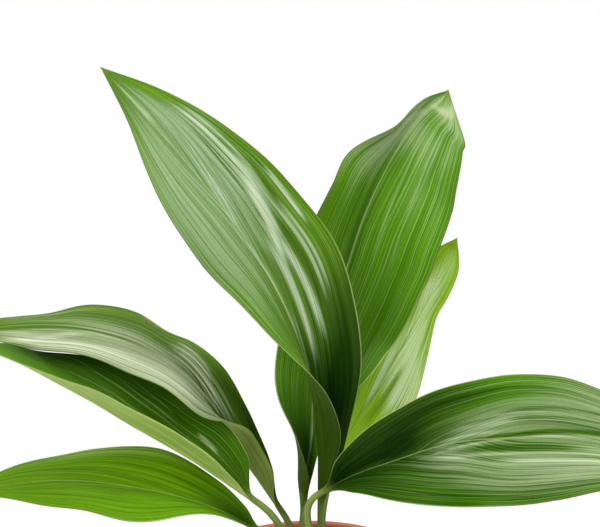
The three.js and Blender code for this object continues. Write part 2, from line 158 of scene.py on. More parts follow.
LEAVES["leaf_broad_right"] = Values(
    foot=(-2, 7),
    midrib=[
        (-8, 16, 199), (-5, 20, 234), (0, 24, 270), (1, 38, 303), (10, 58, 350), (28, 80, 398),
        (46, 104, 446), (71, 134, 492), (100, 170, 529), (126, 195, 546),
    ],
    facing=[(0, 0), (1, 1), (7, 7), (18, 11), (25, 16), (26, 20), (36, 20), (46, 25), (60, 30)],
    left=Values(
        half=50, wave=STILL, outline=[0.4, 0.6, 0.74, 0.83, 0.99, 1.04, 1.02, 0.91, 0.5, 0.23, 0],
        section=[
            (20, 174), (21, 168), (26, 90), (30, 17), (25, 20), (25, 17), (25, 17), (25, 27), (25, 5),
            (30, 47), (30, 28), (20, 20),
        ],
    ),
    right=Values(
        half=68, wave=STILL,
        outline=[
            0.06, 0.06, 0.1, 0.15, 0.32, 0.55, 0.71, 0.8, 0.89, 0.95, 0.99, 1.04, 1.05, 1.06, 1.06, 1.04,
            0.96, 0.87, 0.77, 0.66, 0,
        ],
        section=[
            (50, 50), (50, 50), (45, 44), (27, 22), (24, 20), (20, 14), (20, 10), (20, 12), (10, 4),
        ],
    ),
    pleat=0.2, bands=0.3, ribs=0.45, lines=0.5, under=(56, 74, 16), under_far=(112, 146, 74),
    green=(72, 124, 6), pale=(152, 176, 120), sheen=(180, 192, 152),
    courses=[1.1, 1.06, 1.03, 1, 1, 1, 1, 0.98, 0.95, 0.9, 0.8],
    bloom=[
        (0.8, 0.8, 0.09, -0.75, 0.45), (0.6, 0.86, 0.07, -0.2, 0.4), (0.7, 0.96, 0.04, 0.4, 0.7),
        (0.35, 0.67, 0.09, -0.8, 0.35), (0.3, 0.72, 0.1, 0.6, 0.4), (0.32, 0.85, 0.06, 0.3, 0.45),
        (0.3, 0.9, 0.08, 0.8, 0.3), (0.3, 0.52, 0.08, -0.25, 0.15), (0.6, 0.91, 0.06, -0.9, 0.4),
        (0.35, 0.73, 0.07, -0.32, 0.2), (0.8, 0.06, 0.06, 0.1, 0.25),
    ],
    vivid=[(1, 0.6, 0.15, -0.9, 0.45)],
    shade=[
        (0.35, 0.22, 0.14, -0.5, 0.6), (0.6, 0.16, 0.08, -0.1, 0.5), (0.2, 0.4, 0.1, 0.75, 0.3),
        (0.4, 0.33, 0.08, 0.4, 0.4), (0.3, 0.6, 0.12, -0.06, 0.1),
    ],
    streaks=[
        (0.75, 0.94, 0.15, 0.985, 0.85, 0.16), (0.6, 0.84, -0.7, 0.91, -0.1, 0.2),
        (0.5, 0.11, 0, 0.19, 0, 0.05), (0.4, 0.6, 0.26, 0.84, 0.24, 0.01),
        (0.3, 0.55, 0.5, 0.8, 0.46, 0.01),
    ],
    grooves=[
        (0.9, 0.4, -0.05, 0.7, -0.04, 0.04), (0.6, 0.5, 0.05, 0.8, 0.05, 0.02),
        (0.5, 0.62, 0.3, 0.8, 0.28, 0.012), (0.5, 0.45, 0.22, 0.66, 0.2, 0.012),
    ],
)
LEAVES["leaf_young"] = Values(
    foot=(8, 22),
    midrib=[
        (19, 38, 237), (32, 60, 261), (55, 86, 290), (77, 112, 318), (97, 138, 345), (118, 160, 379),
        (135, 175, 412),
    ],
    facing=[(30, 0), (20, 10), (0, 20), (0, 25), (10, 30)],
    left=Values(
        half=38, wave=STILL, outline=[0.07, 0.3, 0.62, 0.86, 0.98, 1, 0.93, 0.82, 0.68, 0.5, 0],
        section=[(50, 50), (25, 10), (15, 5), (10, 0), (5, 5)],
    ),
    right=Values(
        half=43, wave=STILL, outline=[0.15, 0.5, 0.75, 0.86, 0.8, 0.64, 0.48, 0.34, 0.36, 0.3, 0],
        section=[(30, 20), (15, 0), (5, -10), (0, -10), (0, 0)],
    ),
    pleat=0.3, bands=0.5, ribs=0.8, lines=0.3, under=(120, 150, 60), under_far=(140, 172, 86),
    green=(140, 188, 24), pale=(216, 240, 170), sheen=(216, 232, 190),
    courses=[1.3, 1.2, 1.1, 1.05, 1, 0.95, 0.85, 0.75, 0.6, 0.5, 0.4],
    bloom=[
        (0.8, 0.58, 0.2, 0.3, 0.6), (0.6, 0.78, 0.08, -0.1, 0.4), (0.9, 0.4, 0.12, 0.6, 0.5),
        (0.35, 0.9, 0.08, 0.3, 0.6),
    ],
    vivid=[(0.8, 0.14, 0.14, 0.1, 0.9), (0.2, 0.92, 0.06, 0.6, 0.4)],
    shade=[(0.3, 0.97, 0.02, 0, 1)],
    streaks=[(0.8, 0.28, -0.06, 0.5, -0.15, 0.07), (0.6, 0.32, 0.46, 0.52, 0.5, 0.05)],
    grooves=[(0.8, 0.22, 0.2, 0.44, 0.3, 0.06), (0.4, 0.4, 0, 0.62, 0, 0.03)],
)
LEAVES["leaf_arching_right"] = Values(
    foot=(10, -22),
    midrib=[
        (6, -20, 238), (32, -30, 257), (68, -44, 276), (107, -58, 294), (147, -72, 303), (187, -86, 308),
        (226, -100, 306), (265, -114, 293), (303, -126, 270),
    ],
    facing=[(0, 20), (0, 25), (0, 35), (0, 40), (0, 45), (0, 45)],
    left=Values(
        half=54, wave=(8, 3, 0.25),
        outline=[0.07, 0.42, 0.65, 0.74, 0.84, 0.98, 0.95, 0.79, 0.69, 0.38, 0],
        section=[(60, 50), (40, 30), (15, 6), (10, -11), (10, -11), (5, 5)],
    ),
    right=Values(
        half=54, wave=(6, 3.5, 0.6), outline=PLAIN_OUTLINE,
        section=[(60, 40), (30, 20), (15, -10), (10, -15), (10, -10), (5, 5)],
    ),
    pleat=0.45, bands=0.5, ribs=1, lines=0.6, under=(60, 84, 24), under_far=(108, 140, 72),
    green=(60, 108, 3), pale=(136, 156, 108), sheen=(188, 200, 164),
    courses=[3, 2.6, 2.2, 1.6, 1.3, 1.05, 1, 1, 1, 1, 0.9],
    bloom=[
        (0.75, 0.73, 0.17, -0.65, 0.5), (0.5, 0.72, 0.26, 0.15, 0.45), (0.6, 0.47, 0.1, -0.25, 0.25),
        (0.75, 0.62, 0.3, 0.6, 0.3), (0.9, 0.36, 0.09, 0.14, 0.28), (0.2, 0.6, 0.08, -0.3, 0.3),
    ],
    vivid=[(0.6, 0.5, 0.12, -0.92, 0.12)],
    shade=[
        (1, 0.06, 0.2, -0.3, 1.4), (0.6, 0.3, 0.1, -0.62, 0.45, -1.5), (0.5, 0.24, 0.06, -0.25, 0.25),
        (0.2, 0.42, 0.08, -0.72, 0.2),
    ],
    streaks=[
        (0.6, 0.3, 0.13, 0.5, 0, 0.014), (0.6, 0.55, 0, 0.75, -0.1, 0.02),
        (0.4, 0.38, -0.18, 0.5, -0.28, 0.06), (0.5, 0.4, 0.24, 0.75, 0.26, 0.02),
        (0.5, 0.34, -0.06, 0.46, -0.12, 0.02), (0.4, 0.45, -0.35, 0.85, -0.5, 0.014),
        (0.6, 0.5, 0.36, 0.75, 0.4, 0.06),
    ],
    grooves=[
        (0.9, 0.38, 0.03, 0.82, -0.24, 0.035), (0.9, 0.4, 0.14, 0.64, 0.16, 0.05),
        (0.8, 0.28, 0.15, 0.38, 0.07, 0.012), (0.5, 0.5, -0.28, 0.8, -0.4, 0.02),
        (0.5, 0.55, -0.45, 0.85, -0.58, 0.02),
    ],
)
LEAVES["leaf_arching_left"] = Values(
    foot=(-14, 3),
    midrib=[
        (-25, 22, 205), (-46, 22, 237), (-65, 19, 266), (-84, 12, 300), (-107, 2, 335), (-140, -8, 361),
        (-182, -18, 376), (-228, -24, 380), (-284, -26, 374),
    ],
    facing=[(60, 20), (60, 35), (50, 58), (20, 75), (0, 78), (0, 76), (0, 72), (0, 70)],
    left=Values(
        half=42, wave=(6, 4, 0.3), outline=[0.07, 0.37, 0.5, 0.74, 1.2, 0.96, 0.9, 0.74, 0.6, 0.33, 0],
        section=[(62, 70), (96, 117), (30, 33), (2, -22), (-6, -22), (-13, -27), (-1, -3)],
    ),
    right=Values(
        half=44, wave=(12, 2.5, 0.58),
        outline=[0.07, 0.25, 0.46, 0.62, 0.76, 1, 1.11, 0.95, 1.01, 0.91, 0.76, 0.46, 0.36, 0.3, 0],
        section=[(61, 51), (46, 23), (22, 13), (15, 9), (5, 0), (0, -3), (0, 2)],
    ),
    pleat=0.35, bands=0.5, ribs=1, lines=0.4, under=(152, 176, 88), under_far=(152, 176, 88),
    green=(72, 110, 12), pale=(156, 168, 130), sheen=(204, 212, 182),
    courses=[3, 2.6, 2, 1.5, 1.2, 1.05, 1, 1, 0.95, 0.9, 0.8],
    bloom=[
        (0.8, 0.66, 0.22, -0.7, 0.5), (0.5, 0.6, 0.16, 0.1, 0.4), (0.5, 0.43, 0.05, 0.6, 0.3),
        (0.6, 0.42, 0.12, -0.35, 0.5), (0.35, 0.82, 0.14, 0.7, 0.5), (0.6, 0.54, 0.2, -0.95, 0.35),
        (0.7, 0.82, 0.1, -0.6, 0.3, 2.5), (0.7, 0.33, 0.07, 0.35, 0.25), (0.6, 0.54, 0.04, 1, 0.12),
    ],
    vivid=[(0.8, 0.65, 0.09, 0.86, 0.2), (0.6, 0.3, 0.1, 0.6, 0.3), (0.3, 0.92, 0.05, 0.2, 0.6)],
    shade=[(0.5, 0.33, 0.05, 0.75, 0.3), (0.7, 0.22, 0.1, 0.9, 0.35)],
    streaks=[
        (1, 0.3, 0.14, 0.42, 0.05, 0.016), (0.9, 0.29, 0.22, 0.5, 0.26, 0.016),
        (0.8, 0.33, 0.32, 0.47, 0.42, 0.03), (0.8, 0.37, 0.48, 0.47, 0.58, 0.02),
        (0.7, 0.38, 0.64, 0.46, 0.74, 0.025), (0.4, 0.7, -0.2, 0.9, -0.95, 0.1),
        (0.5, 0.6, -0.15, 0.82, -0.2, 0.03), (0.5, 0.45, -0.35, 0.65, -0.55, 0.03),
    ],
    grooves=[
        (0.9, 0.27, 0.42, 0.42, 0.5, 0.03), (0.9, 0.27, 0.6, 0.42, 0.68, 0.03),
        (0.9, 0.27, 0.8, 0.42, 0.86, 0.03), (0.6, 0.3, 0.09, 0.46, 0.1, 0.02),
        (0.5, 0.34, 0.27, 0.46, 0.33, 0.014), (0.4, 0.55, -0.1, 0.78, -0.05, 0.03),
    ],
)
LEAVES["leaf_folded_left"] = Values(
    foot=(-20, -12),
    midrib=[
        (-46, -24, 233), (-70, -28, 252), (-94, -32, 271), (-119, -38, 289), (-144, -43, 306),
        (-171, -48, 325), (-199, -56, 344), (-226, -67, 363), (-257, -77, 380),
    ],
    facing=[(0, 70), (0, 80), (0, 85), (0, 85), (0, 80), (0, 70)],
    left=Values(
        half=40, wave=STILL, outline=[0.07, 0.29, 0.6, 0.72, 0.96, 0.96, 0.89, 0.99, 0.7, 0.31, 0],
        section=[(61, 62), (51, 45), (41, 34), (38, 30), (32, 16), (17, 38)],
    ),
    right=Values(
        half=44, wave=(4, 3, 0.2), outline=[0.2, 0.62, 0.9, 0.93, 1, 0.97, 0.91, 0.77, 0.57, 0.36, 0],
        section=[(60, 60), (51, 49), (46, 41), (42, 38), (26, 7), (3, 2)],
    ),
    # This leaf's underside is painted paler than its own colour, as painted light where it lies in
    # shade.
    pleat=0.25, bands=0.4, ribs=0.8, lines=0.7, under=(200, 224, 120), under_far=(200, 224, 120),
    green=(62, 114, 2), pale=(152, 178, 92), sheen=(190, 206, 150),
    courses=[1.3, 1.2, 1.06, 0.92, 0.8, 0.68, 0.56, 0.4, 0.25, 0.2, 0.2],
    bloom=[],
    vivid=[(0.5, 0.14, 0.12, 0.7, 0.7), (0.3, 0.55, 0.25, 0.25, 0.25), (0.4, 0.34, 0.1, 0.85, 0.2)],
    shade=[(0.75, 0.84, 0.08, 0.95, 0.45), (0.5, 0.76, 0.1, 0.65, 0.35), (0.3, 0.12, 0.08, 0.7, 0.4)],
    streaks=[
        (0.9, 0.19, 0.42, 0.25, 0.5, 0.045), (0.6, 0.19, 0.38, 0.24, 0.43, 0.012),
        (0.5, 0.3, 0.36, 0.6, 0.62, 0.01), (0.5, 0.6, 0.62, 0.75, 0.98, 0.01),
        (0.5, 0.34, 0.48, 0.56, 0.72, 0.01), (0.4, 0.45, 0.3, 0.7, 0.45, 0.01),
        (0.4, 0.36, 0.62, 0.52, 0.86, 0.01),
    ],
    grooves=[(0.5, 0.3, 0.6, 0.5, 0.85, 0.05)],
)
LEAVES["leaf_low_left"] = Values(
    foot=(-22, -28),
    midrib=[
        (-39, -38, 211), (-68, -48, 232), (-101, -56, 248), (-140, -61, 259), (-182, -63, 265),
        (-225, -64, 264), (-272, -66, 256),
    ],
    facing=[(0, 50), (0, 65), (0, 72), (0, 72), (0, 68)],
    left=Values(
        half=42, wave=(6, 3, 0.4), outline=PLAIN_OUTLINE,
        section=[(50, 50), (50, 30), (20, 0), (10, -5), (10, -5), (5, 5)],
    ),
    right=Values(
        half=42, wave=STILL, outline=[0.07, 0.28, 0.6, 0.86, 1.01, 1.03, 0.97, 0.84, 0.7, 0.4, 0],
        section=[(50, 40), (22, 5), (12, 13), (10, -5), (2, -11), (5, 6)],
    ),
    pleat=0.3, bands=0.7, ribs=0.8, lines=0.3, under=(84, 104, 36), under_far=(112, 142, 68),
    green=(90, 140, 2), pale=(150, 180, 84), sheen=(190, 210, 140),
    courses=[1.6, 1.4, 1.3, 1.2, 1.1, 1, 0.95, 0.9, 0.8, 0.7, 0.6],
    bloom=[(0.6, 0.6, 0.3, 0.9, 0.15)],
    vivid=[],
    shade=[(0.9, 0.1, 0.15, 0, 1.2)],
    streaks=[],
    grooves=[],
)

# The narrowest that a leaf's vein pattern gets, as a share of the half width.
NARROWEST_COURSE = 0.2

# The pot's outside radii at its foot, shoulder and rim, its heights, and its inside. The ledge
# is how far out and up the rim starts from the shoulder, and the step is how far apart its
# points lie. Its clay wobbles by a little, in so many waves round and over such a rise.
POT = Values(
    height=168, foot=66, shoulder=87, ledge=(5, 2), rim=95.4, rim_height=30,
    wall=7, floor=9, floor_radius=59.5, corner=2.2, step=5,
    wobble=0.25, wobble_waves=2, wobble_rise=22,
)
DRAIN = Values(radius=5, ring=32, depth=27, count=4, sides=32)
TURNED_SIDES = 160
LONGEST_CUT = 0.45  # the most that a rounded corner takes off a side, as a share of it
LIME_UP_TO = 120  # the height below which lime shows more

# Two creeping stems. A ridge rises and falls once for each old scale, and a low step marks the
# scale's scar, both placed as shares of the scale's length. Roughness has its spacing round
# and along the stem.
RHIZOME = Values(
    radius=8, height=147.5, sides=28, ring_step=0.75, curve_points=200,
    end_inset=0.004, end_taper=0.3, scale_length=9, ridge=0.7, ridge_at=0.3,
    scar=0.5, scar_to=0.12, slimmed=0.4, rough=0.5, rough_spacing=(5, 6),
)
RHIZOME_PATHS = [
    [(14, -38), (10, -22), (5, -8), (-2, 7), (4, 20), (12, 34)],
    [(-26, -42), (-22, -28), (-19, -12), (-14, 3), (-3, 9)],
]

# The soil's radii at the pot's floor and shoulder and at its own top. Its lumps are each a
# height, a width and the layer of noise that they are taken from.
SOIL = Values(
    top=150, dome=3, lumps=((1.6, 14, 0), (1.2, 4, 5)), floor_gap=0.4, foot=57.6,
    shoulder=79.5, edge=82.3, rings=64, surface_within=0.1, bed_gap=0.6,
    stem_points=80,
)
CRUMBS = Values(
    seed=11, tries=1500, sizes=(0.7, 0.9, 1.2, 1.6, 2.3), corners=12,
    jitter=(0.75, 1.2), squash=((0.7, 1.5), (0.6, 1.1), (0.4, 0.8)),
    raised=0.25,  # how far its middle lies above the soil, as a share of its size
    from_edge=3, clearance=0.5, pale_share=0.06, pale_tone=0.9,
)

# The camera looks back along +Y and down at its target.
CAMERA = Values(target=(-10, 0, 425), elevation=12, distance=1133, lens=85, sensor=36)

# Each lamp's place, its width and height, and its power in watts.
LAMPS = {
    "key": ((-1100, -1200, 1500), (900, 900), 26),
    "overhead": ((300, 200, 1700), (1400, 900), 24),
    "side": ((1500, -600, 900), (500, 1200), 9),
    "fill": ((-500, -1600, 100), (1000, 500), 7),
}
LAMPS_AIM = (0, 0, 380)
WORLD = Values(behind=0.5, overhead=0.4, everywhere=0.1)
FLOOR = Values(
    radius=900, sides=96, drop=0.5, fades_from=200, gone_at=850,
    colour=(0.93, 0.93, 0.93, 1), roughness=0.7,
)

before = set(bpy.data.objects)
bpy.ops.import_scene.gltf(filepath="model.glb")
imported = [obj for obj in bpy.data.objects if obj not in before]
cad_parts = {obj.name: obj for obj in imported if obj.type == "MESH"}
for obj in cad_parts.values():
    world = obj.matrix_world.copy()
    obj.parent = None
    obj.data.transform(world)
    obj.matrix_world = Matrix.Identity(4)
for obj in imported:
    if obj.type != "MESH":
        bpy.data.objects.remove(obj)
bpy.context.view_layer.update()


# Curves.

def curve_at(points, t):
    """An even, smooth curve through the points, at t from 0 to 1."""
    p = np.asarray(points, float)
    if p.ndim == 1:
        p = p[:, None]
    last = len(p) - 1
    full = np.vstack([2 * p[0] - p[1], p, 2 * p[-1] - p[-2]])
    s = np.clip(t, 0, 1) * last
    i = np.minimum(s.astype(int), last - 1)
    w = (s - i)[:, None]
    a, b, c, d = full[i], full[i + 1], full[i + 2], full[i + 3]
    bend = (2 * a - 5 * b + 4 * c - d) * w ** 2
    twist = (3 * b - a - 3 * c + d) * w ** 3
    return 0.5 * (2 * b + (c - a) * w + bend + twist)


def evenly(points, shares):
    """Points and directions at shares of a curve's length, and that length."""
    fine = np.linspace(0, 1, 801)
    steps = np.linalg.norm(np.diff(curve_at(points, fine), axis=0), axis=1)
    reached = np.concatenate([[0], np.cumsum(steps)])
    t = np.interp(np.asarray(shares) * reached[-1], reached, fine)
    nudge = 1e-3
    ahead = curve_at(points, np.clip(t + nudge, 0, 1)) - curve_at(points, np.clip(t - nudge, 0, 1))
    return curve_at(points, t), unit(ahead), reached[-1]


def unit(v):
    return v / np.maximum(np.linalg.norm(v, axis=-1, keepdims=True), 1e-12)


def square_to(vectors, along):
    """The vectors turned square to the directions, at length 1."""
    return unit(vectors - (vectors * along).sum(-1, keepdims=True) * along)


def facing_vectors(angles):
    azimuth, elevation = np.radians(np.array(angles, float)).T
    level = np.cos(elevation)
    return np.stack([np.sin(azimuth) * level, -np.cos(azimuth) * level, np.sin(elevation)], -1)


def smooth(low, high, x):
    """A soft step from 0 at low to 1 at high."""
    s = np.clip((x - low) / (high - low), 0, 1)
    return s * s * (3 - 2 * s)


# Meshes and objects.

def add_object(name, data):
    made = bpy.data.objects.new(name, data)
    bpy.context.collection.objects.link(made)
    return made


def as_object(name, bm, smooth_shade=True):
    mesh = bpy.data.meshes.new(name)
    bm.to_mesh(mesh)
    bm.free()
    if smooth_shade:
        mesh.shade_smooth()
    return add_object(name, mesh)


def store(mesh, key, values):
    """Keeps one number for each point of the mesh, for its material to read."""
    numbers = np.asarray(values, np.float32).ravel()
    mesh.attributes.new(key, "FLOAT", "POINT").data.foreach_set("value", numbers)


# Leaves. Along a blade u runs from 0 at its base to 1 at its tip, and across it v runs from -1
# at its left margin to 1 at its right one.

def blade_surface(leaf, u, v):
    """The blade's middle surface as rows of points, and its midrib's frame at each row."""
    centre, along, length = evenly(leaf.midrib, u)
    up = square_to(curve_at(facing_vectors(leaf.facing), u), along)
    right = np.cross(along, up)
    grid = np.zeros((len(u), len(v), 3))
    steps = (np.arange(BLADE.section_steps) + 0.5) / BLADE.section_steps
    for side, sign in ((leaf.left, -1), (leaf.right, 1)):
        half = np.maximum(side.half * curve_at(side.outline, u)[:, 0], BLADE.narrowest)
        inner, outer = np.radians(curve_at(side.section, u)).T
        degrees, count, phase = side.wave
        waving = np.sin(2 * math.pi * (count * u + phase)) * np.sin(math.pi * u)
        outer = outer + math.radians(degrees) * waving
        for j in np.where(v < 0 if sign < 0 else v >= 0)[0]:
            k = steps * abs(v[j])
            bend = inner[:, None] + (outer - inner)[:, None] * k
            angle = bend * np.minimum(1, k / BLADE.groove)
            across = (np.cos(angle).mean(1) * abs(v[j]) * half)[:, None]
            lift = (np.sin(angle).mean(1) * abs(v[j]) * half)[:, None]
            grid[:, j] = centre + sign * across * right + lift * up
    return grid, centre, along, right, up, length


def pleats(leaf, u, v, draw):
    """How far the blade's long soft folds stand out at each point."""
    depth = np.zeros((len(u), len(v)))
    for folds, share in PLEATS.folds:
        phase = draw.uniform(0, 2 * math.pi)
        drift = draw.uniform(-PLEATS.drift, PLEATS.drift)
        depth += share * np.sin(math.pi * folds * v[None, :] + phase + drift * u[:, None])
    to_ends = np.sin(math.pi * np.clip(u, 0, 1)) ** PLEATS.end_power
    to_margins = 1 - np.abs(v) ** PLEATS.side_power
    return leaf.pleat * depth * (to_ends[:, None] * to_margins[None, :])


def round_rows(centre, right, up, radius, count):
    """The upper and lower half circles of a stalk, each from its left to its right."""
    angle = math.pi * (1 - (np.arange(count) + 0.5) / count)
    across = (radius * np.cos(angle))[:, None] * right
    lift = (radius * np.sin(angle))[:, None] * up
    return centre + across + lift, centre + across - lift


def stalk_frames(leaf, top, heading, first_up):
    """Centres, rights, ups and radii of the stalk from its foot to the blade."""
    x, y = leaf.foot
    foot = np.array([x, y, STALK.straight_to], float)
    reach = STALK.pull * np.linalg.norm(top - foot)
    handles = [foot, foot + (0, 0, reach), top - heading * reach, top]
    t = np.linspace(0, 1, STALK_STATIONS, endpoint=False)[:, None]
    weights = ((1 - t) ** 3, 3 * t * (1 - t) ** 2, 3 * t ** 2 * (1 - t), t ** 3)
    centres = sum(w * h for w, h in zip(weights, handles))
    a, b, c, d = handles
    along = unit((1 - t) ** 2 * (b - a) + 2 * t * (1 - t) * (c - b) + t ** 2 * (d - c))
    ups = np.zeros_like(along)
    up = first_up
    for i in reversed(range(STALK_STATIONS)):
        up = square_to(up, along[i])
        ups[i] = up
    radii = STALK.foot_radius + (STALK.top_radius - STALK.foot_radius) * t[:, 0]
    bottom = np.array([[x, y, STALK.bottom]], float)
    return (
        np.vstack([bottom, centres]),
        np.vstack([np.cross((0, 0, 1), up)[None], np.cross(along, ups)]),
        np.vstack([up[None], ups]),
        np.concatenate([[STALK.foot_radius], radii]),
    )


def patches(spots, u, v):
    """The combined strength of soft patches at each point."""
    total = np.zeros((len(u), len(v)))
    for strength, u0, du, v0, dv, *drift in spots:
        middle = v0 + sum(drift) * (u[:, None] - u0)
        lengthwise = ((u[:, None] - u0) / du) ** 2
        crosswise = ((v[None, :] - middle) / dv) ** 2
        total += strength * np.exp(-lengthwise - crosswise)
    return np.clip(total, 0, 1)


def strokes(lines, u, v):
    """The strength of thin lines drawn from one place on the blade to another."""
    total = np.zeros((len(u), len(v)))
    start, full = STROKE.fade_from, STROKE.full_from
    for strength, u0, v0, u1, v1, width in lines:
        share = (u - u0) / (u1 - u0)
        middle = v0 + (v1 - v0) * share
        fade = smooth(start, full, share) * smooth(1 - start, 1 - full, share)
        line = np.exp(-((v[None, :] - middle[:, None]) / width) ** STROKE.side_power)
        total = np.maximum(total, strength * fade[:, None] * line)
    return total


def build_leaf(name, leaf, draw):
    """A blade, thickened both ways from its middle surface, that flows out of its stalk."""
    v = np.linspace(-1, 1, POINTS_ACROSS)
    u = np.linspace(0, 1, BLADE_STATIONS)
    grid, centre, along, right, up, length = blade_surface(leaf, u, v)
    normal = unit(np.cross(np.gradient(grid, axis=1), np.gradient(grid, axis=0)))
    steady = np.searchsorted(u, BLADE.steady_to)
    normal[steady:] = normal[steady - 1]
    fold = pleats(leaf, u, v, draw)[:, :, None]
    keel_across = np.maximum(0, 1 - np.abs(v) / BLADE.keel_reach)
    keel = BLADE.keel * (1 - u)[:, None] * keel_across[None, :]
    upper = grid + normal * (BLADE.thickness / 2 + fold)
    lower = grid + normal * (fold - BLADE.thickness / 2 - keel[:, :, None])
    for i, share in enumerate(smooth(0, BLADE.blend_to, u)):
        high, low = round_rows(centre[i], right[i], up[i], STALK.top_radius, POINTS_ACROSS)
        upper[i] = high + (upper[i] - high) * share
        lower[i] = low + (lower[i] - low) * share
    frames = stalk_frames(leaf, centre[0], along[0], up[0])
    stalk = [round_rows(*each, POINTS_ACROSS) for each in zip(*frames)]
    upper = np.concatenate([[high for high, _ in stalk], upper])
    lower = np.concatenate([[low for _, low in stalk], lower])
    stalk_line = np.vstack([frames[0], centre[:1]])
    steps = np.linalg.norm(np.diff(stalk_line, axis=0), axis=1)
    below_base = -steps[::-1].cumsum()[::-1]
    return leaf_object(name, leaf, upper, lower, np.concatenate([below_base / length, u]), v)


def leaf_faces(rows, columns):
    """Four-cornered faces over the upper and lower points, and round their common edge."""
    count = rows * columns
    at = np.arange(count).reshape(rows, columns)
    a, b, c, d = at[:-1, :-1], at[:-1, 1:], at[1:, 1:], at[1:, :-1]
    faces = [np.stack([a, b, c, d], -1).reshape(-1, 4)]
    faces.append(np.stack([d, c, b, a], -1).reshape(-1, 4) + count)
    for line, flip in ((at[:, 0], False), (at[:, -1], True), (at[0], True), (at[-1], False)):
        low, high = line[:-1], line[1:]
        strip = np.stack([low, high, high + count, low + count], -1)
        faces.append(strip[:, ::-1] if flip else strip)
    return np.concatenate(faces)


def leaf_object(name, leaf, upper, lower, u, v):
    points = np.concatenate([upper.reshape(-1, 3), lower.reshape(-1, 3)]) * MM
    mesh = bpy.data.meshes.new(name)
    mesh.from_pydata(points.tolist(), [], leaf_faces(len(u), len(v)).tolist())
    mesh.validate()
    mesh.shade_smooth()

    u_grid, v_grid = np.meshgrid(u, v, indexing="ij")
    place = np.stack([v_grid.ravel() / 2 + 0.5, u_grid.ravel()], -1)
    place = np.concatenate([place, place]).astype(np.float32)
    corner_vertex = np.empty(len(mesh.loops), int)
    mesh.loops.foreach_get("vertex_index", corner_vertex)
    mesh.uv_layers.new(name="blade").uv.foreach_set("vector", place[corner_vertex].ravel())

    course = np.maximum(curve_at(leaf.courses, np.clip(u, 0, 1)), NARROWEST_COURSE)
    grooves = strokes(leaf.grooves, u, v)
    one_side = {
        "vein": 1 - (1 - np.abs(v_grid)) / course,
        "bloom": patches(leaf.bloom, u, v) * (1 - grooves),
        "vivid": patches(leaf.vivid, u, v),
        "shade": patches(leaf.shade, u, v),
        "streak": strokes(leaf.streaks, u, v),
        "groove": grooves,
        "stalk": 1 - smooth(*STALK_COLOUR_ENDS, u_grid),
    }
    for key, values in one_side.items():
        store(mesh, key, [values, values])
    store(mesh, "below", [np.zeros_like(u_grid), np.ones_like(u_grid)])
    return add_object(name + "_dressed", mesh)


# Materials.

def linear(rgb):
    """A colour written as 0 to 255 screen values, as the linear values that shaders use."""
    shares = [c / 255 for c in rgb]
    return tuple(s / 12.92 if s <= 0.04045 else ((s + 0.055) / 1.055) ** 2.4 for s in shares) + (1,)


def tinted(colour, red, green, blue):
    """The colour with its red, green and blue made stronger or weaker."""
    return tuple(min(1, c * s) for c, s in zip(colour, (red, green, blue, 1)))


LEAF_TONES = {name: linear(rgb) for name, rgb in {
    "sheen_peak": (206, 216, 186), "midrib": (170, 196, 120), "tip": (128, 126, 62),
    "edge": (184, 202, 132), "aged_edge": (104, 100, 40),
    "stalk": (96, 124, 44), "pale_stalk": (158, 178, 100),
}.items()}


class Nodes:
    """Short names for making and joining the nodes of one tree."""

    def __init__(self, tree):
        self.tree = tree

    def put(self, kind, inputs=None, **settings):
        node = self.tree.nodes.new("ShaderNode" + kind)
        for key, value in settings.items():
            setattr(node, key, value)
        for key, value in (inputs or {}).items():
            self.set(node.inputs[key], value)
        return node

    def set(self, socket, value):
        if isinstance(value, bpy.types.NodeSocket):
            self.tree.links.new(value, socket)
        else:
            socket.default_value = value

    def math(self, operation, a, b=0.0):
        return self.put("Math", {0: a, 1: b}, operation=operation).outputs[0]

    def plus(self, a, b):
        return self.math("ADD", a, b)

    def minus(self, a, b):
        return self.math("SUBTRACT", a, b)

    def times(self, a, b):
        return self.math("MULTIPLY", a, b)

    def ramp(self, value, low, high, to_low=0.0, to_high=1.0):
        """A soft step: to_low where the value is low, to_high where it is high."""
        inputs = {"Value": value, "From Min": low, "From Max": high}
        inputs |= {"To Min": to_low, "To Max": to_high}
        return self.put("MapRange", inputs, interpolation_type="SMOOTHSTEP").outputs[0]

    def mix(self, share, a, b):
        inputs = {"Factor": share, "A": a, "B": b}
        return self.put("Mix", inputs, data_type="RGBA").outputs["Result"]

    def layered(self, colour, layers):
        """The colour with each layer's tone laid over it, by its share."""
        for share, tone in layers:
            colour = self.mix(share, colour, tone)
        return colour

    def noise(self, vector, scale, detail, roughness):
        inputs = {"Vector": vector, "Scale": scale, "Detail": detail, "Roughness": roughness}
        return self.put("TexNoise", inputs).outputs["Fac"]

    def spread(self, vector, scale, shift=(0, 0, 0)):
        inputs = {"Vector": vector, "Scale": scale, "Location": shift}
        return self.put("Mapping", inputs).outputs[0]

    def attribute(self, name):
        return self.put("Attribute", attribute_name=name).outputs["Fac"]

    def place(self):
        return self.put("TexCoord").outputs["Object"]


class Surface(Nodes):
    """The nodes of a new material."""

    def __init__(self, name):
        self.material = bpy.data.materials.new(name)
        self.material.use_nodes = True
        super().__init__(self.material.node_tree)
        self.shader = self.tree.nodes["Principled BSDF"]

    def finish(self, colour, roughness, height, relief, shader=None):
        """Joins colour, roughness and relief in millimetres to the shader, and sets the rest."""
        bump = self.put("Bump", {"Height": height, "Distance": relief * MM, "Strength": 1.0})
        self.set(self.shader.inputs["Base Color"], colour)
        self.set(self.shader.inputs["Roughness"], roughness)
        self.set(self.shader.inputs["Normal"], bump.outputs[0])
        for key, value in (shader or {}).items():
            self.shader.inputs[key].default_value = value
        return self.material


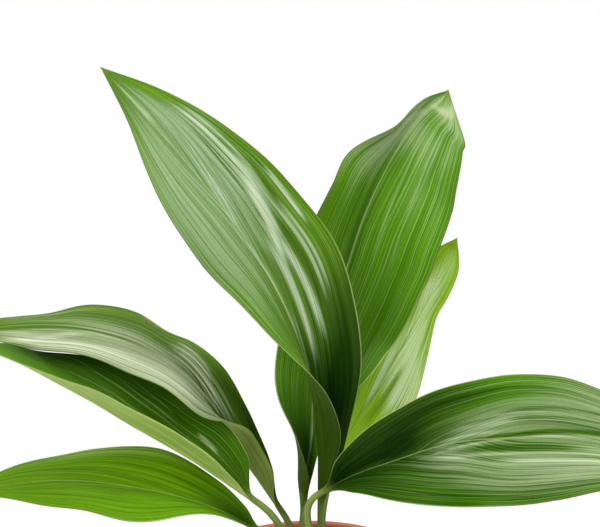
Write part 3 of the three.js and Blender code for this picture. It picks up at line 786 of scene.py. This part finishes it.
def leaf_material(name, leaf, seed):
    n = Surface(name)
    place = n.put("UVMap", uv_map="blade").outputs[0]
    sides = n.put("SeparateXYZ", {0: place})
    across, along = sides.outputs["X"], sides.outputs["Y"]
    from_midrib = n.math("ABSOLUTE", n.minus(across, 0.5))
    vein = n.plus(n.attribute("vein"), n.times(n.ramp(across, *MIDRIB_SPAN), SIDES_APART))
    field = n.put("CombineXYZ", {"X": vein, "Y": along, "Z": seed}).outputs[0]
    hair, fine, broad, cloud, cells = (
        n.noise(n.spread(field, (crosswise, lengthwise, 1)), 1.0, detail, roughness)
        for crosswise, lengthwise, detail, roughness in LEAF_GRAINS.values()
    )
    major = vein_lines(n, vein, broad, fine, **VEINS["major"])
    minor = vein_lines(n, vein, hair, broad, **VEINS["minor"])

    green, pale = linear(leaf.green), linear(leaf.pale)
    light = tinted(green, 1.6, 1.4, 1.6)
    vivid = tinted(green, 1.7, 1.5, 0.6)
    deep = tinted(green, 0.10, 0.20, 0.10)
    dark = tinted(green, 0.05, 0.12, 0.04)

    # The painted sheen is broken up along the veins, and turns to a near-white painted highlight where
    # it is thickest.
    bloom = n.attribute("bloom")
    streaked = n.plus(bloom, waves(n, [(fine, 1.2), (broad, 1.0), (hair, 0.5), (cloud, 0.3)]))
    painted_sheen_share = n.times(n.ramp(streaked, 0.15, 0.95), n.ramp(bloom, 0.0, 0.35))
    sheen_peak_share = n.times(n.ramp(streaked, 0.85, 1.35), n.ramp(bloom, 0.4, 0.9))
    ribs = n.minus(leaf.ribs, n.times(painted_sheen_share, 0.4 * leaf.ribs))
    lines = n.math("MAXIMUM", major, n.times(minor, 0.6))
    aged = n.ramp(n.plus(along, n.times(fine, 0.3)), 0.5, 0.75)
    edge = n.mix(aged, LEAF_TONES["edge"], LEAF_TONES["aged_edge"])
    upper = n.layered(green, [
        (n.ramp(broad, 0.3, 0.7, 0.0, leaf.bands), light),
        (n.attribute("vivid"), vivid),
        (n.ramp(cloud, 0.45, 0.75, 0.0, 0.3), light),
        # painted sheen, in the leaf's pale tone, where light would glance off it
        (painted_sheen_share, pale),
        (n.times(n.ramp(fine, 0.52, 0.38, 0.0, 0.55), ribs), deep),
        (n.times(n.ramp(hair, 0.52, 0.40, 0.0, 0.45), ribs), deep),
        (n.ramp(cells, 0.35, 0.65, 0.0, 0.16), deep),
        (n.ramp(hair, 0.52, 0.64, 0.0, 0.35), n.mix(painted_sheen_share, light, pale)),
        # a near-white painted highlight where the painted sheen is thickest
        (n.times(sheen_peak_share, 0.6), LEAF_TONES["sheen_peak"]),
        (n.times(lines, leaf.lines), pale),
        # painted shade where the leaf lies in shadow: at its base and under the leaves beside and above
        # it
        (n.times(n.attribute("shade"), n.ramp(fine, 0.75, 0.3, 0.9, 1.0)), dark),
        # painted shade along the creases of the folds
        (n.times(n.attribute("groove"), n.ramp(hair, 0.62, 0.42, 0.3, 0.7)), deep),
        # streaks in the sheen tone: mostly painted highlights on the ridges and one painted glint, with
        # a few pale veins
        (n.times(n.attribute("streak"), n.ramp(hair, 0.38, 0.60, 0.35, 1.0)), linear(leaf.sheen)),
        (n.times(n.ramp(from_midrib, 0.008, 0.002), 0.45), LEAF_TONES["midrib"]),
        (n.times(n.ramp(from_midrib, 0.489, 0.496), 0.6), edge),
        (n.ramp(along, 0.975, 1.0, 0.0, 0.5), LEAF_TONES["tip"]),
    ])
    # the underside's darker tone near the base is painted shade
    under = n.layered(linear(leaf.under), [
        (n.ramp(along, 0.22, 0.45), linear(leaf.under_far)),
        (n.ramp(broad, 0.45, 0.85, 0.0, 0.35), green),
        (n.ramp(fine, 0.52, 0.40, 0.0, 0.25), deep),
    ])
    stalk = n.mix(fine, LEAF_TONES["stalk"], LEAF_TONES["pale_stalk"])
    colour = n.layered(upper, [
        (n.times(n.attribute("below"), 0.95), under),
        (n.attribute("stalk"), stalk),
    ])

    height = n.plus(n.times(fine, 0.8), n.times(hair, 0.3))
    height = n.plus(height, n.times(major, 0.15))
    height = n.plus(height, n.times(cells, 0.05))
    height = n.times(height, n.ramp(along, 1.0, 0.6))
    return n.finish(colour, n.ramp(fine, 0.2, 0.8, 0.32, 0.46), height, LEAF_RELIEF, LEAF_SHADER)


def waves(n, parts):
    """Noises added together about zero, each with its weight."""
    total = 0.0
    for noise_value, weight in parts:
        total = n.plus(total, n.times(n.minus(noise_value, 0.5), weight))
    return total


def vein_lines(n, vein, wander, fade, count, width):
    """Thin parallel lines, a little unevenly spaced, that fade in and out along the leaf."""
    t = n.plus(n.times(vein, count), n.times(wander, 0.6))
    apart = n.math("ABSOLUTE", n.minus(n.math("FRACT", t), 0.5))
    return n.times(n.ramp(apart, width, 0.0), n.ramp(fade, 0.3, 0.5))


def terracotta_material():
    """Fired clay with coarse grain, faint turning marks and lime low down."""
    n = Surface("terracotta")
    place = n.place()
    cloud = n.noise(place, 14, 5.0, 0.6)
    grain = n.noise(place, 900, 3.0, 0.7)
    lime = n.noise(n.spread(place, (1, 1, 0.6), (3, 1, 0)), 26, 8.0, 0.65)
    turning = n.noise(n.spread(place, (0.4, 0.4, 90), (0, 0, 2)), 4, 2.0, 0.5)
    height_up = n.put("SeparateXYZ", {0: place}).outputs["Z"]
    low = n.ramp(height_up, LIME_UP_TO * MM, 0.0, 0.0, 0.22)
    colour = n.layered(linear((188, 104, 66)), [
        (n.ramp(cloud, 0.3, 0.7), linear((206, 128, 88))),
        (n.ramp(grain, 0.35, 0.2, 0.0, 0.5), linear((140, 70, 44))),
        (n.ramp(n.plus(lime, low), 0.56, 0.84, 0.0, 0.45), linear((226, 204, 182))),
    ])
    height = n.plus(n.times(grain, 0.5), n.times(turning, 1.6))
    return n.finish(colour, n.ramp(cloud, 0.2, 0.8, 0.72, 0.9), height, 0.3)


def soil_material():
    """Dark lumpy potting mix; the number stored as tone turns a crumb to pale pumice."""
    n = Surface("potting mix")
    place = n.place()
    lumps = n.noise(place, 160, 6.0, 0.7)
    specks = n.noise(place, 620, 3.0, 0.6)
    colour = n.layered(linear((32, 22, 15)), [
        (n.ramp(lumps, 0.3, 0.7), linear((74, 52, 36))),
        (n.ramp(specks, 0.6, 0.75, 0.0, 0.6), linear((112, 82, 56))),
        (n.ramp(n.attribute("tone"), 0.0, 1.0), linear((198, 190, 174))),
    ])
    height = n.plus(lumps, n.times(specks, 0.4))
    return n.finish(colour, n.ramp(lumps, 0.3, 0.7, 0.95, 0.8), height, 1.2)


def rhizome_material():
    n = Surface("rootstock")
    place = n.place()
    fibres = n.noise(place, 320, 5.0, 0.7)
    cloud = n.noise(place, 60, 3.0, 0.5)
    colour = n.layered(linear((116, 96, 58)), [
        (n.ramp(cloud, 0.3, 0.7), linear((160, 138, 88))),
        (n.ramp(fibres, 0.45, 0.25, 0.0, 0.8), linear((58, 42, 26))),
    ])
    return n.finish(colour, n.ramp(fibres, 0.2, 0.8, 0.6, 0.85), fibres, 0.6)


# Pot.

def rounded(profile, radius, steps=5):
    """A turned profile with each inner corner rounded, where its sides are long enough."""
    out = [profile[0]]
    for before, corner, after in zip(profile, profile[1:], profile[2:]):
        b, c, a = Vector(before), Vector(corner), Vector(after)
        cut = min(radius, (b - c).length * LONGEST_CUT, (a - c).length * LONGEST_CUT)
        start, end = c + (b - c).normalized() * cut, c + (a - c).normalized() * cut
        for k in range(steps + 1):
            t = k / steps
            out.append(tuple((1 - t) ** 2 * start + 2 * t * (1 - t) * c + t ** 2 * end))
    return out + [profile[-1]]


def divided(profile, step):
    """The profile with points about a step apart."""
    out = [profile[0]]
    for (r0, z0), (r1, z1) in zip(profile, profile[1:]):
        count = max(1, round(math.hypot(r1 - r0, z1 - z0) / step))
        for k in range(1, count + 1):
            out.append((r0 + (r1 - r0) * k / count, z0 + (z1 - z0) * k / count))
    return out


def turned(name, profile, wobble=lambda angle, z: 0):
    """A closed turned body from a profile that starts and ends on the axis."""
    bm = bmesh.new()
    rings = []
    for r, z in profile:
        if r < 1e-6:
            rings.append([bm.verts.new((0, 0, z * MM))])
            continue
        ring = []
        for k in range(TURNED_SIDES):
            angle = 2 * math.pi * k / TURNED_SIDES
            reach = r + wobble(angle, z)
            x, y = reach * math.cos(angle), reach * math.sin(angle)
            ring.append(bm.verts.new((x * MM, y * MM, z * MM)))
        rings.append(ring)
    for low, high in zip(rings, rings[1:]):
        for k in range(TURNED_SIDES):
            m = (k + 1) % TURNED_SIDES
            if len(low) == 1:
                bm.faces.new((low[0], high[m], high[k]))
            elif len(high) == 1:
                bm.faces.new((low[k], low[m], high[0]))
            else:
                bm.faces.new((low[k], low[m], high[m], high[k]))
    bmesh.ops.recalc_face_normals(bm, faces=bm.faces)
    return as_object(name, bm)


def pot_profile():
    """The pot's outline: out over its underside, up its outside and down its inside."""
    shoulder = POT.height - POT.rim_height
    out, up = POT.ledge
    outside = [(POT.foot, 0), (POT.shoulder, shoulder), (POT.shoulder + out, shoulder + up)]
    rim = [(POT.rim, POT.height), (POT.rim - POT.wall, POT.height)]
    inside = [(POT.shoulder - POT.wall, shoulder), (POT.floor_radius, POT.floor)]
    return [(0, 0)] + outside + rim + inside + [(0, POT.floor)]


def pot_wobble(angle, z):
    """How far hand-turned clay strays from a true circle."""
    waves_round, rise = POT.wobble_waves, POT.wobble_rise
    place = (waves_round * math.cos(angle), waves_round * math.sin(angle), z / rise)
    return POT.wobble * noise.noise(place)


def build_pot():
    outline = divided(rounded(pot_profile(), POT.corner), POT.step)
    pot = turned("pot_dressed", outline, pot_wobble)
    drills = bmesh.new()
    for k in range(DRAIN.count):
        angle = (k + 0.5) / DRAIN.count * 2 * math.pi
        spot = Vector((math.cos(angle), math.sin(angle), 0)) * DRAIN.ring * MM
        radius = DRAIN.radius * MM
        made = bmesh.ops.create_cone(
            drills, cap_ends=True, segments=DRAIN.sides, radius1=radius, radius2=radius,
            depth=DRAIN.depth * MM)
        bmesh.ops.translate(drills, verts=made["verts"], vec=spot)
    cutter = as_object("drills", drills)
    cut = pot.modifiers.new("drain", "BOOLEAN")
    cut.object = cutter
    cut.operation = "DIFFERENCE"
    cut.solver = "EXACT"
    apply_modifiers(pot)
    bpy.data.objects.remove(cutter)
    return pot


def apply_modifiers(made):
    shown = made.evaluated_get(bpy.context.evaluated_depsgraph_get())
    done = bpy.data.meshes.new_from_object(shown)
    made.modifiers.clear()
    made.data = done


# Rootstock and soil.

def path_points(path, count):
    """Points along a stem's middle, at the rootstock's height."""
    xy = curve_at(path, np.linspace(0, 1, count))
    return np.column_stack([xy, np.full(count, RHIZOME.height)])


def distance_to(stems, x, y):
    return math.sqrt(((stems[:, :2] - (x, y)) ** 2).sum(1).min())


def soil_height(x, y, stems):
    """The soil's top: lumpy, a little domed, and sunk under the rootstock."""
    from_edge = 1 - math.hypot(x, y) / SOIL.edge
    lumps = sum(h * noise.noise((x / wide, y / wide, layer)) for h, wide, layer in SOIL.lumps)
    z = SOIL.top - SOIL.dome + SOIL.dome * min(1, 2 * from_edge)
    z += min(1, 6 * from_edge) * lumps
    off_stem = distance_to(stems, x, y)
    bed = RHIZOME.radius + SOIL.bed_gap
    if off_stem < bed:
        z = min(z, RHIZOME.height - math.sqrt(bed ** 2 - off_stem ** 2))
    return z


def build_soil(stems):
    top, edge, rings = SOIL.top, SOIL.edge, SOIL.rings
    underside = POT.floor + SOIL.floor_gap
    profile = [(0, underside), (SOIL.foot, underside)]
    profile.append((SOIL.shoulder, POT.height - POT.rim_height))
    profile += [(edge * (1 - k / rings), top) for k in range(rings)] + [(0, top)]
    soil = turned("soil_dressed", profile)
    for vertex in soil.data.vertices:
        x, y, z = (c / MM for c in vertex.co)
        if z > top - SOIL.surface_within:
            vertex.co.z = soil_height(x, y, stems) * MM
    store(soil.data, "tone", np.zeros(len(soil.data.vertices)))
    return soil


def build_crumbs(stems):
    """Loose bits of bark, grit and pumice lying on the soil."""
    draw = random.Random(CRUMBS.seed)
    feet = [leaf.foot for leaf in LEAVES.values()]
    bm = bmesh.new()
    tones = []
    for _ in range(CRUMBS.tries):
        r = (SOIL.edge - CRUMBS.from_edge) * math.sqrt(draw.random())
        a = draw.uniform(0, 2 * math.pi)
        size = draw.choice(CRUMBS.sizes)
        x, y = r * math.cos(a), r * math.sin(a)
        to_stalk = min(math.hypot(x - fx, y - fy) for fx, fy in feet)
        clear = to_stalk > STALK.foot_radius + size + CRUMBS.clearance
        off_root = distance_to(stems, x, y) > RHIZOME.radius + size
        tone = CRUMBS.pale_tone if draw.random() < CRUMBS.pale_share else 0.0
        squash = Vector([draw.uniform(*limits) for limits in CRUMBS.squash])
        turn = draw.uniform(0, math.pi)
        jitter = [draw.uniform(*CRUMBS.jitter) for _ in range(CRUMBS.corners)]
        if not (clear and off_root):
            continue
        made = bmesh.ops.create_icosphere(bm, subdivisions=1, radius=1)["verts"]
        z = soil_height(x, y, stems) + CRUMBS.raised * size
        for vertex, share in zip(made, jitter):
            p = Vector(c * s for c, s in zip(vertex.co * share * size, squash))
            turned_x = p.x * math.cos(turn) - p.y * math.sin(turn)
            turned_y = p.x * math.sin(turn) + p.y * math.cos(turn)
            vertex.co = Vector((x + turned_x, y + turned_y, z + p.z)) * MM
        tones += [tone] * len(made)
    crumbs = as_object("soil_crumbs", bm, smooth_shade=False)
    store(crumbs.data, "tone", tones)
    return crumbs


def stem_rings(bm, path):
    """The rings of points round one creeping stem, with a ridge where each old scale sat."""
    curve = path_points(path, RHIZOME.curve_points)
    lengths = np.concatenate([[0], np.cumsum(np.linalg.norm(np.diff(curve, axis=0), axis=1))])
    total = lengths[-1]
    inset = RHIZOME.end_inset
    across, lengthwise = RHIZOME.rough_spacing

    def at(s):
        return np.array([np.interp(s, lengths, curve[:, k]) for k in range(3)])

    rings = []
    for s in np.linspace(0, total, round(total / RHIZOME.ring_step)):
        u = min(max(s / total, inset), 1 - inset)
        centre = at(s)
        along = unit(at(min(s + 1, total)) - at(max(s - 1, 0)))
        side = np.array([-along[1], along[0], 0])
        taper = math.sin(math.pi * u) ** RHIZOME.end_taper
        phase = (s / RHIZOME.scale_length) % 1
        ridge = RHIZOME.ridge * (1 - 2 * abs(phase - RHIZOME.ridge_at))
        ridge += RHIZOME.scar * (phase < RHIZOME.scar_to)
        ring = []
        for k in range(RHIZOME.sides):
            a = 2 * math.pi * k / RHIZOME.sides
            cos, sin = math.cos(a), math.sin(a)
            place = (centre[0] / across + cos, centre[1] / across + sin, s / lengthwise)
            rough = RHIZOME.rough * noise.noise(place)
            r = (RHIZOME.radius + ridge - RHIZOME.slimmed + rough) * taper
            p = centre + r * (cos * side + sin * np.array([0, 0, 1]))
            ring.append(bm.verts.new(p * MM))
        rings.append(ring)
    return rings


def build_rhizome():
    """Two ringed creeping stems, joined in one mesh."""
    bm = bmesh.new()
    sides = RHIZOME.sides
    for path in RHIZOME_PATHS:
        rings = stem_rings(bm, path)
        for low, high in zip(rings, rings[1:]):
            for k in range(sides):
                m = (k + 1) % sides
                bm.faces.new((low[k], low[m], high[m], high[k]))
        bm.faces.new(rings[0][::-1])
        bm.faces.new(rings[-1])
    bmesh.ops.recalc_face_normals(bm, faces=bm.faces)
    return as_object("rhizome_dressed", bm)


# Camera, light and floor.

def metres(place):
    return [c * MM for c in place]


def look_along(direction):
    """The turn that points a camera or a lamp along a direction."""
    return direction.to_track_quat("-Z", "Y").to_euler()


def place_camera():
    data = bpy.data.cameras.new("camera")
    data.lens = CAMERA.lens
    data.sensor_width = CAMERA.sensor
    camera = add_object("camera", data)
    elevation = math.radians(CAMERA.elevation)
    back = Vector((0, -math.cos(elevation), math.sin(elevation)))
    camera.location = (Vector(CAMERA.target) + back * CAMERA.distance) * MM
    camera.rotation_euler = look_along(-back)
    bpy.context.scene.camera = camera


def build_lights():
    for name, (place, size, power) in LAMPS.items():
        data = bpy.data.lights.new(name, "AREA")
        data.shape = "RECTANGLE"
        data.size, data.size_y = metres(size)
        data.energy = power
        lamp = add_object(name, data)
        lamp.location = metres(place)
        lamp.rotation_euler = look_along(Vector(metres(LAMPS_AIM)) - Vector(metres(place)))


def build_world():
    """White behind the object; on it, a light that is strong behind and above, weak in front."""
    world = bpy.data.worlds.new("studio")
    bpy.context.scene.world = world
    world.use_nodes = True
    world.node_tree.nodes.clear()
    n = Nodes(world.node_tree)
    parts = n.put("SeparateXYZ", {0: n.put("TexCoord").outputs["Generated"]})
    behind = n.ramp(parts.outputs["Y"], -0.1, 0.9)
    raised = n.ramp(parts.outputs["Z"], -0.15, 0.2)
    overhead = n.ramp(parts.outputs["Z"], 0.3, 1.0)
    strength = n.times(n.times(behind, raised), WORLD.behind)
    strength = n.plus(strength, n.times(overhead, WORLD.overhead))
    strength = n.plus(strength, WORLD.everywhere)
    around = n.put("Background", {"Color": (1, 1, 1, 1), "Strength": strength})
    seen = n.put("Background", {"Color": (1, 1, 1, 1), "Strength": 1.0})
    by_camera = n.put("LightPath").outputs["Is Camera Ray"]
    either = n.put("MixShader", {0: by_camera, 1: around.outputs[0], 2: seen.outputs[0]})
    n.put("OutputWorld", {"Surface": either.outputs[0]})


def build_floor():
    """A pale floor that fades into the white studio around it."""
    bm = bmesh.new()
    bmesh.ops.create_circle(bm, cap_ends=True, segments=FLOOR.sides, radius=FLOOR.radius * MM)
    floor = as_object("floor", bm, smooth_shade=False)
    floor.location.z = -FLOOR.drop * MM
    n = Surface("floor")
    distance = n.put("VectorMath", {0: n.place()}, operation="LENGTH").outputs["Value"]
    n.shader.inputs["Base Color"].default_value = FLOOR.colour
    n.shader.inputs["Roughness"].default_value = FLOOR.roughness
    fade = n.ramp(distance, FLOOR.gone_at * MM, FLOOR.fades_from * MM)
    n.set(n.shader.inputs["Alpha"], fade)
    floor.data.materials.append(n.material)


# Putting it together.

def dress(piece, material, node=None):
    """Gives the piece its material and its body, and hides the solid's node that it stands for."""
    piece.data.materials.clear()
    piece.data.materials.append(material)
    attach(piece, "root")
    if node:
        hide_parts(node)


place_camera()
build_world()
build_lights()
build_floor()

for seed, (name, leaf) in enumerate(LEAVES.items()):
    piece = build_leaf(name, leaf, random.Random(seed))
    dress(piece, leaf_material(name, leaf, LEAVES_APART * seed), name)

dress(build_pot(), terracotta_material(), "pot")
stems = np.vstack([path_points(path, SOIL.stem_points) for path in RHIZOME_PATHS])
potting_mix = soil_material()
dress(build_soil(stems), potting_mix, "soil")
dress(build_crumbs(stems), potting_mix)
dress(build_rhizome(), rhizome_material(), "rhizome")

bpy.context.scene.view_settings.view_transform = "Standard"
